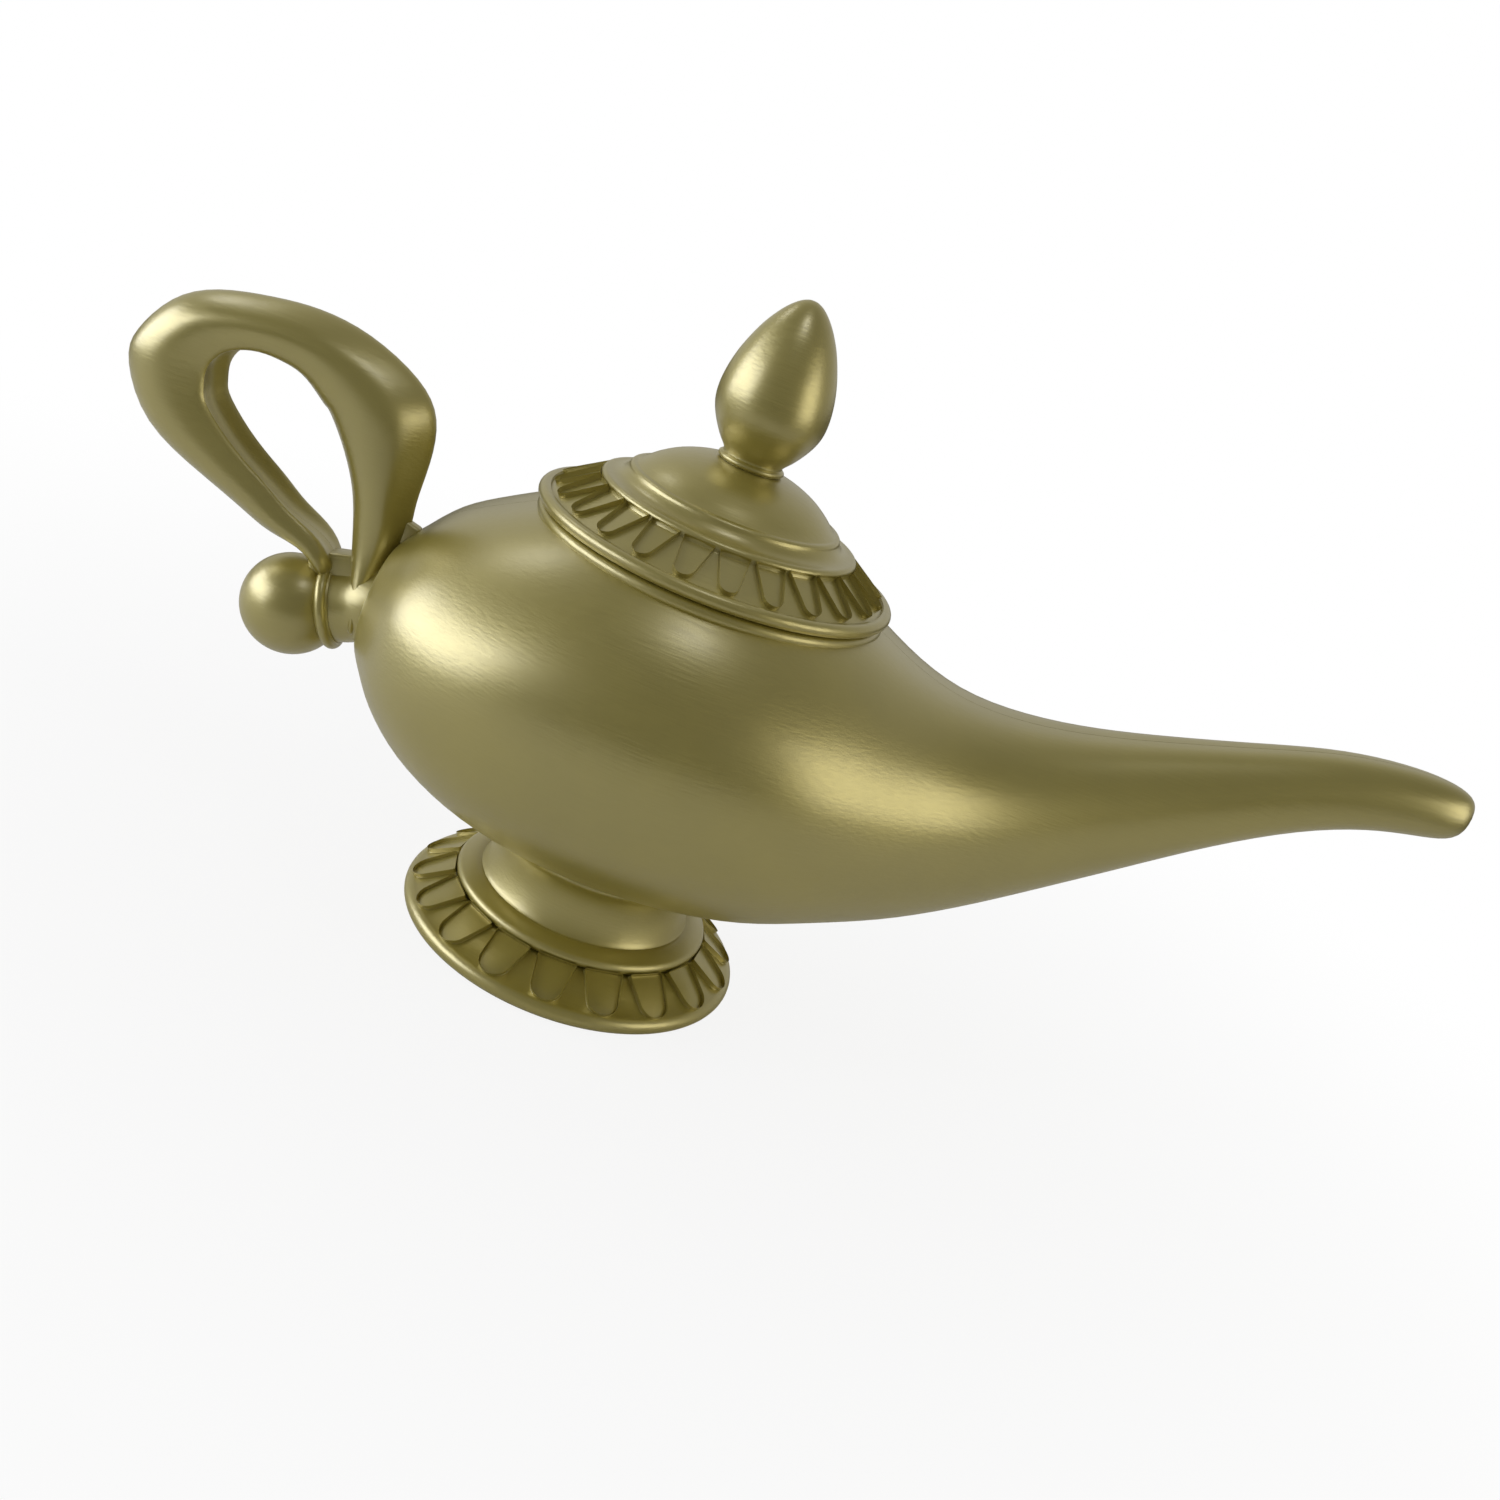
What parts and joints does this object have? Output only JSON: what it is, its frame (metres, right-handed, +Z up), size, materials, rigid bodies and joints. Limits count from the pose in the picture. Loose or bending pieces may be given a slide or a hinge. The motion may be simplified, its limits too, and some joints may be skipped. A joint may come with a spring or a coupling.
{
  "type": "genie oil lamp",
  "caption": "Footed genie oil lamp with a long curved spout, loop handle with ball, and a lift-off domed lid with a drop finial",
  "frame": {"origin": "centre of the foot's underside, on the axis shared by the foot, the lid and the finial", "axes": "+X along the lamp towards the spout's tip; +Y to the left, square to the plane where the two shells part; +Z up"},
  "size_m": [0.2922, 0.1046, 0.1482],
  "materials": {
    "gold_body": "satin gold paint with fine brushed scratches over moulded plastic",
    "gold_trim": "satin gold paint over moulded plastic",
    "gold_lid": "satin gold paint over moulded plastic",
    "gold_handle": "satin gold paint over moulded plastic",
    "screw_steel": "zinc-plated steel"
  },
  "bodies": {
    "lamp": {"body_left_shell": "gold_body", "body_right_shell": "gold_body", "mouth_ring": "gold_trim", "foot": "gold_trim", "foot_screws": "screw_steel", "handle_left_half": "gold_handle", "handle_right_half": "gold_handle", "handle_ball": "gold_handle", "handle_screws": "screw_steel"},
    "cover": {"lid": "gold_lid", "finial": "gold_lid", "finial_screw": "screw_steel"}
  },
  "joints": [
    {"name": "lid_lift", "type": "slide", "parent": "lamp", "child": "cover", "axis": [0, 0, 1], "range_m": [0, 0.04]}
  ]
}
